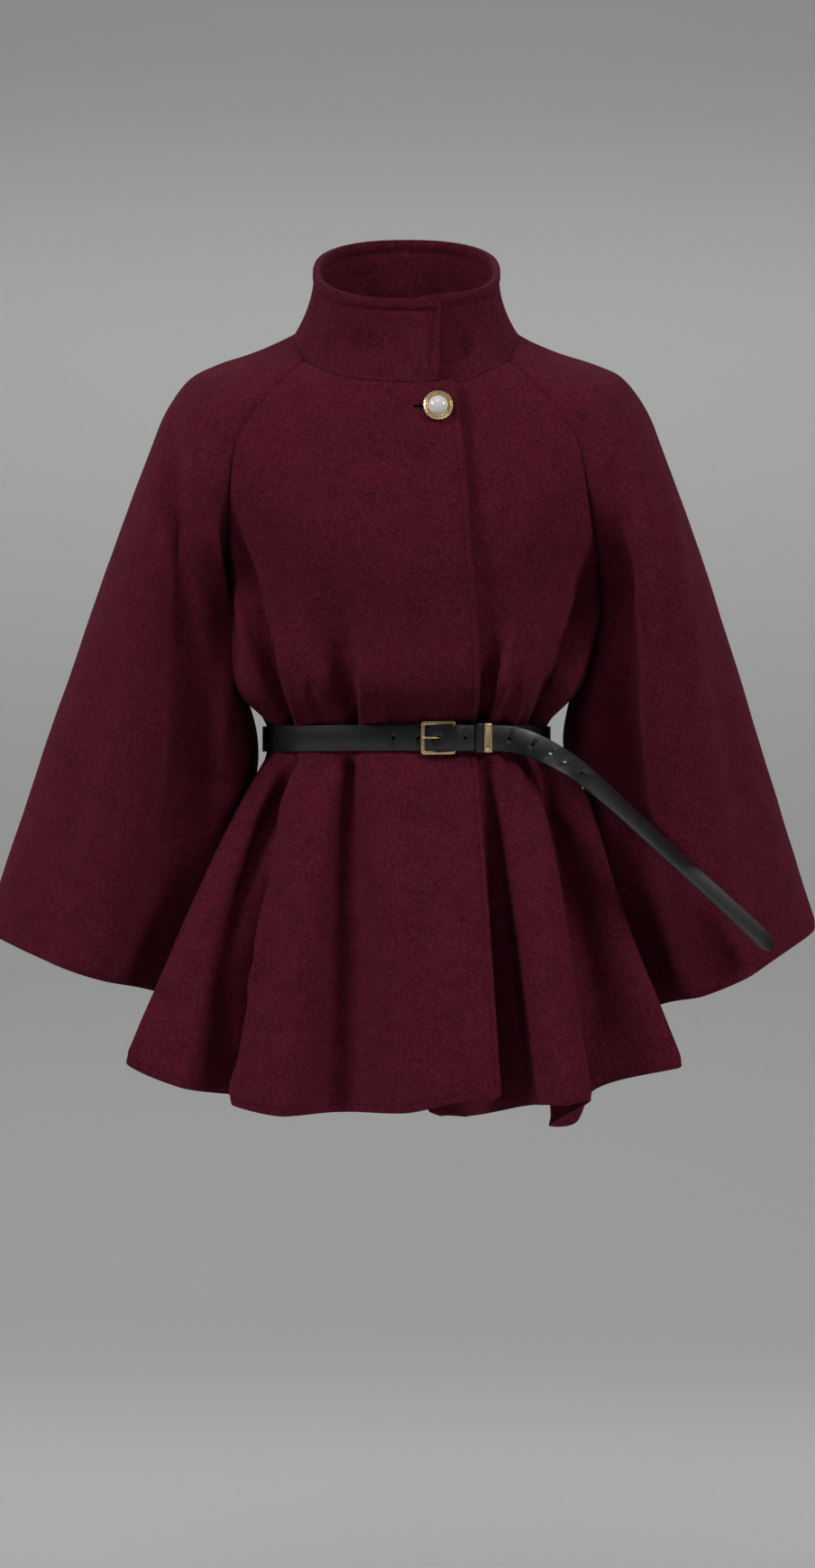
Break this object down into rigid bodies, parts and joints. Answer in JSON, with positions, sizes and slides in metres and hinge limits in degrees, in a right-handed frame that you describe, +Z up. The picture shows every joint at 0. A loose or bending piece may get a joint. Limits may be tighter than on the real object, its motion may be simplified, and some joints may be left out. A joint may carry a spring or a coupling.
{
  "type": "wool cape coat",
  "caption": "Worn-shape cape coat in felted wool: wide raglan sleeves, stand collar, flared folded skirt, pearl neck button and a waist belt with a free end.",
  "frame": {"origin": "middle of the neck's base, level with the neck seam at the sides, where the wearer's shoulders carry the coat", "axes": "+Z up, -Y out of the coat's front, +X to the wearer's left"},
  "size_m": [0.7996, 0.373, 0.8313],
  "materials": {
    "wool": "matte burgundy felted wool with a short nap",
    "leather": "smooth black leather, satin",
    "gold": "polished, gold-coloured",
    "pearl": "pearlescent, glossy",
    "thread": "twisted sewing thread"
  },
  "bodies": {
    "root": {"front_right": "wool", "front_left": "wool", "back": "wool", "sleeve_left": "wool", "sleeve_right": "wool", "collar": "wool", "button_rim": "gold", "button_pearl": "pearl", "button_shank": "thread", "belt_strap": "leather", "buckle_frame": "gold", "buckle_prong": "gold", "keeper_leather": "leather", "keeper_metal": "gold"}
  },
  "joints": []
}
